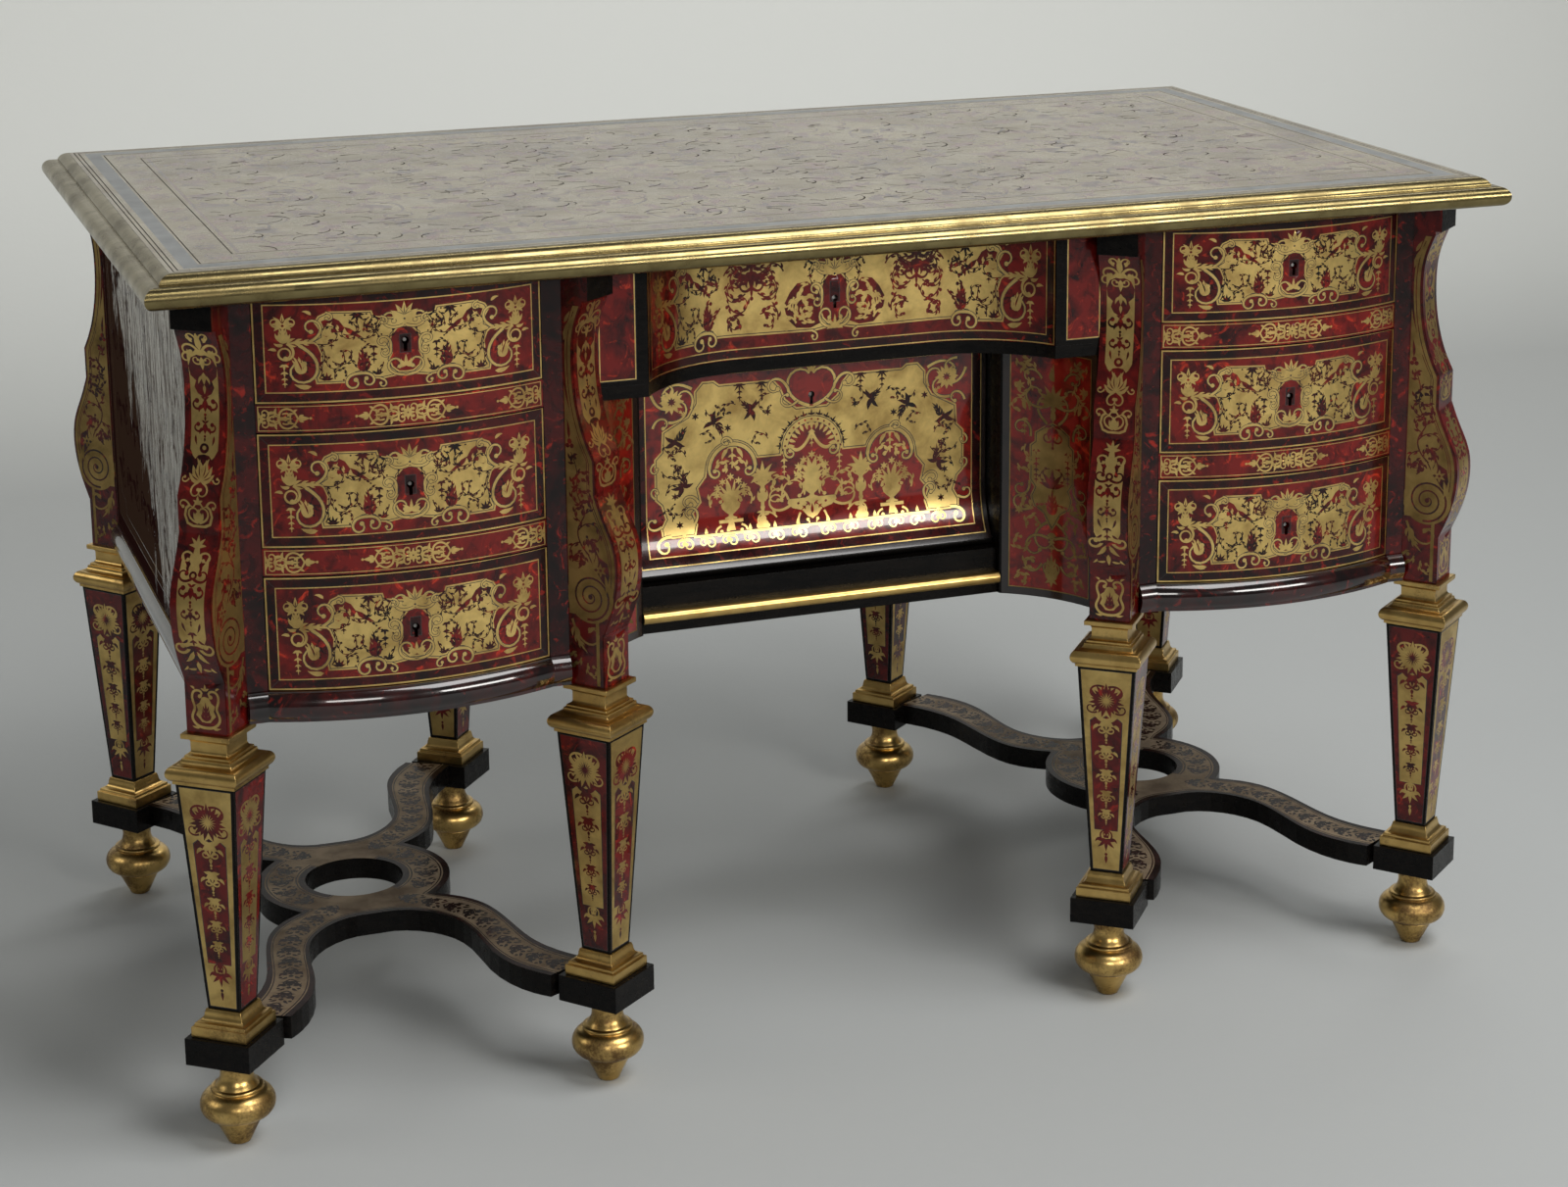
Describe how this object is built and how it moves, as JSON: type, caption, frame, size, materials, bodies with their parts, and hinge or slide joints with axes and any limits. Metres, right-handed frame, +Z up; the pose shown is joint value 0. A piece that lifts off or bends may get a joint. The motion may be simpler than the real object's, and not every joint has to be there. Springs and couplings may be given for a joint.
{
  "type": "bureau mazarin writing desk",
  "caption": "Kneehole writing desk on tapered legs with X stretchers, bow-fronted drawer pedestals, concave frieze drawer and recessed fall-front cupboard, brass and tortoiseshell marquetry.",
  "frame": {"origin": "on the floor under the middle of the desk", "axes": "+Z up, +X along the front to the sitter's right, the drawer fronts face -Y"},
  "size_m": [1.286, 0.698, 0.79],
  "materials": {
    "tortoiseshell_marquetry": "polished red tortoiseshell and brass marquetry",
    "ebony": "polished black ebony veneer",
    "gilt_bronze": "worn gilt bronze",
    "oak": "plain oak",
    "lock_iron": "dark wrought iron",
    "top_marquetry": "polished brass and tortoiseshell marquetry",
    "stretcher_marquetry": "polished dark marquetry"
  },
  "bodies": {
    "carcass": {"top_panel": "top_marquetry", "top_edge_moulding": "gilt_bronze", "back_panels": "ebony", "drawer_guides": "oak", "base_mouldings": "tortoiseshell_marquetry", "consoles": "tortoiseshell_marquetry", "capitals": "gilt_bronze", "tapered_legs": "tortoiseshell_marquetry", "leg_base_mouldings": "gilt_bronze", "stretcher_blocks": "ebony", "feet": "gilt_bronze", "frieze_end_blocks": "tortoiseshell_marquetry", "centre_dust_board": "ebony", "cupboard_bottom": "ebony", "cupboard_sides": "ebony", "concave_side_panels": "tortoiseshell_marquetry", "cupboard_fascia": "ebony", "cupboard_gilt_moulding": "gilt_bronze", "flap_pivot_pins": "lock_iron", "left_side_panels": "tortoiseshell_marquetry", "left_corner_posts": "tortoiseshell_marquetry", "left_front_rails": "tortoiseshell_marquetry", "left_dust_boards": "oak", "left_stretcher": "stretcher_marquetry", "right_side_panels": "tortoiseshell_marquetry", "right_corner_posts": "tortoiseshell_marquetry", "right_front_rails": "tortoiseshell_marquetry", "right_dust_boards": "oak", "right_stretcher": "stretcher_marquetry"},
    "left_bottom_drawer": {"left_bottom_drawer_front": "tortoiseshell_marquetry", "left_bottom_drawer_box": "oak", "left_bottom_drawer_lock": "lock_iron"},
    "left_bottom_drawer_lock_bolt": {"left_bottom_drawer_bolt": "lock_iron"},
    "left_middle_drawer": {"left_middle_drawer_front": "tortoiseshell_marquetry", "left_middle_drawer_box": "oak", "left_middle_drawer_lock": "lock_iron"},
    "left_middle_drawer_lock_bolt": {"left_middle_drawer_bolt": "lock_iron"},
    "left_top_drawer": {"left_top_drawer_front": "tortoiseshell_marquetry", "left_top_drawer_box": "oak", "left_top_drawer_lock": "lock_iron"},
    "left_top_drawer_lock_bolt": {"left_top_drawer_bolt": "lock_iron"},
    "right_bottom_drawer": {"right_bottom_drawer_front": "tortoiseshell_marquetry", "right_bottom_drawer_box": "oak", "right_bottom_drawer_lock": "lock_iron"},
    "right_bottom_drawer_lock_bolt": {"right_bottom_drawer_bolt": "lock_iron"},
    "right_middle_drawer": {"right_middle_drawer_front": "tortoiseshell_marquetry", "right_middle_drawer_box": "oak", "right_middle_drawer_lock": "lock_iron"},
    "right_middle_drawer_lock_bolt": {"right_middle_drawer_bolt": "lock_iron"},
    "right_top_drawer": {"right_top_drawer_front": "tortoiseshell_marquetry", "right_top_drawer_box": "oak", "right_top_drawer_lock": "lock_iron"},
    "right_top_drawer_lock_bolt": {"right_top_drawer_bolt": "lock_iron"},
    "frieze_drawer": {"frieze_drawer_front": "tortoiseshell_marquetry", "frieze_drawer_box": "oak", "frieze_drawer_lock": "lock_iron"},
    "frieze_drawer_lock_bolt": {"frieze_drawer_bolt": "lock_iron"},
    "kneehole_flap": {"kneehole_flap": "tortoiseshell_marquetry", "flap_lock": "lock_iron"},
    "flap_bolt": {"flap_lock_bolt": "lock_iron"}
  },
  "joints": [
    {"name": "left_bottom_drawer_slide", "type": "slide", "parent": "carcass", "child": "left_bottom_drawer", "axis": [0, -1, 0], "range_m": [0, 0.4]},
    {"name": "left_bottom_drawer_bolt_throw", "type": "slide", "parent": "left_bottom_drawer", "child": "left_bottom_drawer_lock_bolt", "axis": [0, 0, 1], "range_m": [0, 0.006]},
    {"name": "left_middle_drawer_slide", "type": "slide", "parent": "carcass", "child": "left_middle_drawer", "axis": [0, -1, 0], "range_m": [0, 0.4]},
    {"name": "left_middle_drawer_bolt_throw", "type": "slide", "parent": "left_middle_drawer", "child": "left_middle_drawer_lock_bolt", "axis": [0, 0, 1], "range_m": [0, 0.006]},
    {"name": "left_top_drawer_slide", "type": "slide", "parent": "carcass", "child": "left_top_drawer", "axis": [0, -1, 0], "range_m": [0, 0.4]},
    {"name": "left_top_drawer_bolt_throw", "type": "slide", "parent": "left_top_drawer", "child": "left_top_drawer_lock_bolt", "axis": [0, 0, 1], "range_m": [0, 0.006]},
    {"name": "right_bottom_drawer_slide", "type": "slide", "parent": "carcass", "child": "right_bottom_drawer", "axis": [0, -1, 0], "range_m": [0, 0.4]},
    {"name": "right_bottom_drawer_bolt_throw", "type": "slide", "parent": "right_bottom_drawer", "child": "right_bottom_drawer_lock_bolt", "axis": [0, 0, 1], "range_m": [0, 0.006]},
    {"name": "right_middle_drawer_slide", "type": "slide", "parent": "carcass", "child": "right_middle_drawer", "axis": [0, -1, 0], "range_m": [0, 0.4]},
    {"name": "right_middle_drawer_bolt_throw", "type": "slide", "parent": "right_middle_drawer", "child": "right_middle_drawer_lock_bolt", "axis": [0, 0, 1], "range_m": [0, 0.006]},
    {"name": "right_top_drawer_slide", "type": "slide", "parent": "carcass", "child": "right_top_drawer", "axis": [0, -1, 0], "range_m": [0, 0.4]},
    {"name": "right_top_drawer_bolt_throw", "type": "slide", "parent": "right_top_drawer", "child": "right_top_drawer_lock_bolt", "axis": [0, 0, 1], "range_m": [0, 0.006]},
    {"name": "frieze_drawer_slide", "type": "slide", "parent": "carcass", "child": "frieze_drawer", "axis": [0, -1, 0], "range_m": [0, 0.32]},
    {"name": "frieze_drawer_bolt_throw", "type": "slide", "parent": "frieze_drawer", "child": "frieze_drawer_lock_bolt", "axis": [0, 0, 1], "range_m": [0, 0.006]},
    {"name": "kneehole_flap_hinge", "type": "hinge", "parent": "carcass", "child": "kneehole_flap", "pos_m": [0, -0.172, 0.437], "axis": [1, 0, 0], "range_deg": [0, 90]},
    {"name": "flap_bolt_throw", "type": "slide", "parent": "kneehole_flap", "child": "flap_bolt", "axis": [0, 0, 1], "range_m": [0, 0.006]}
  ]
}
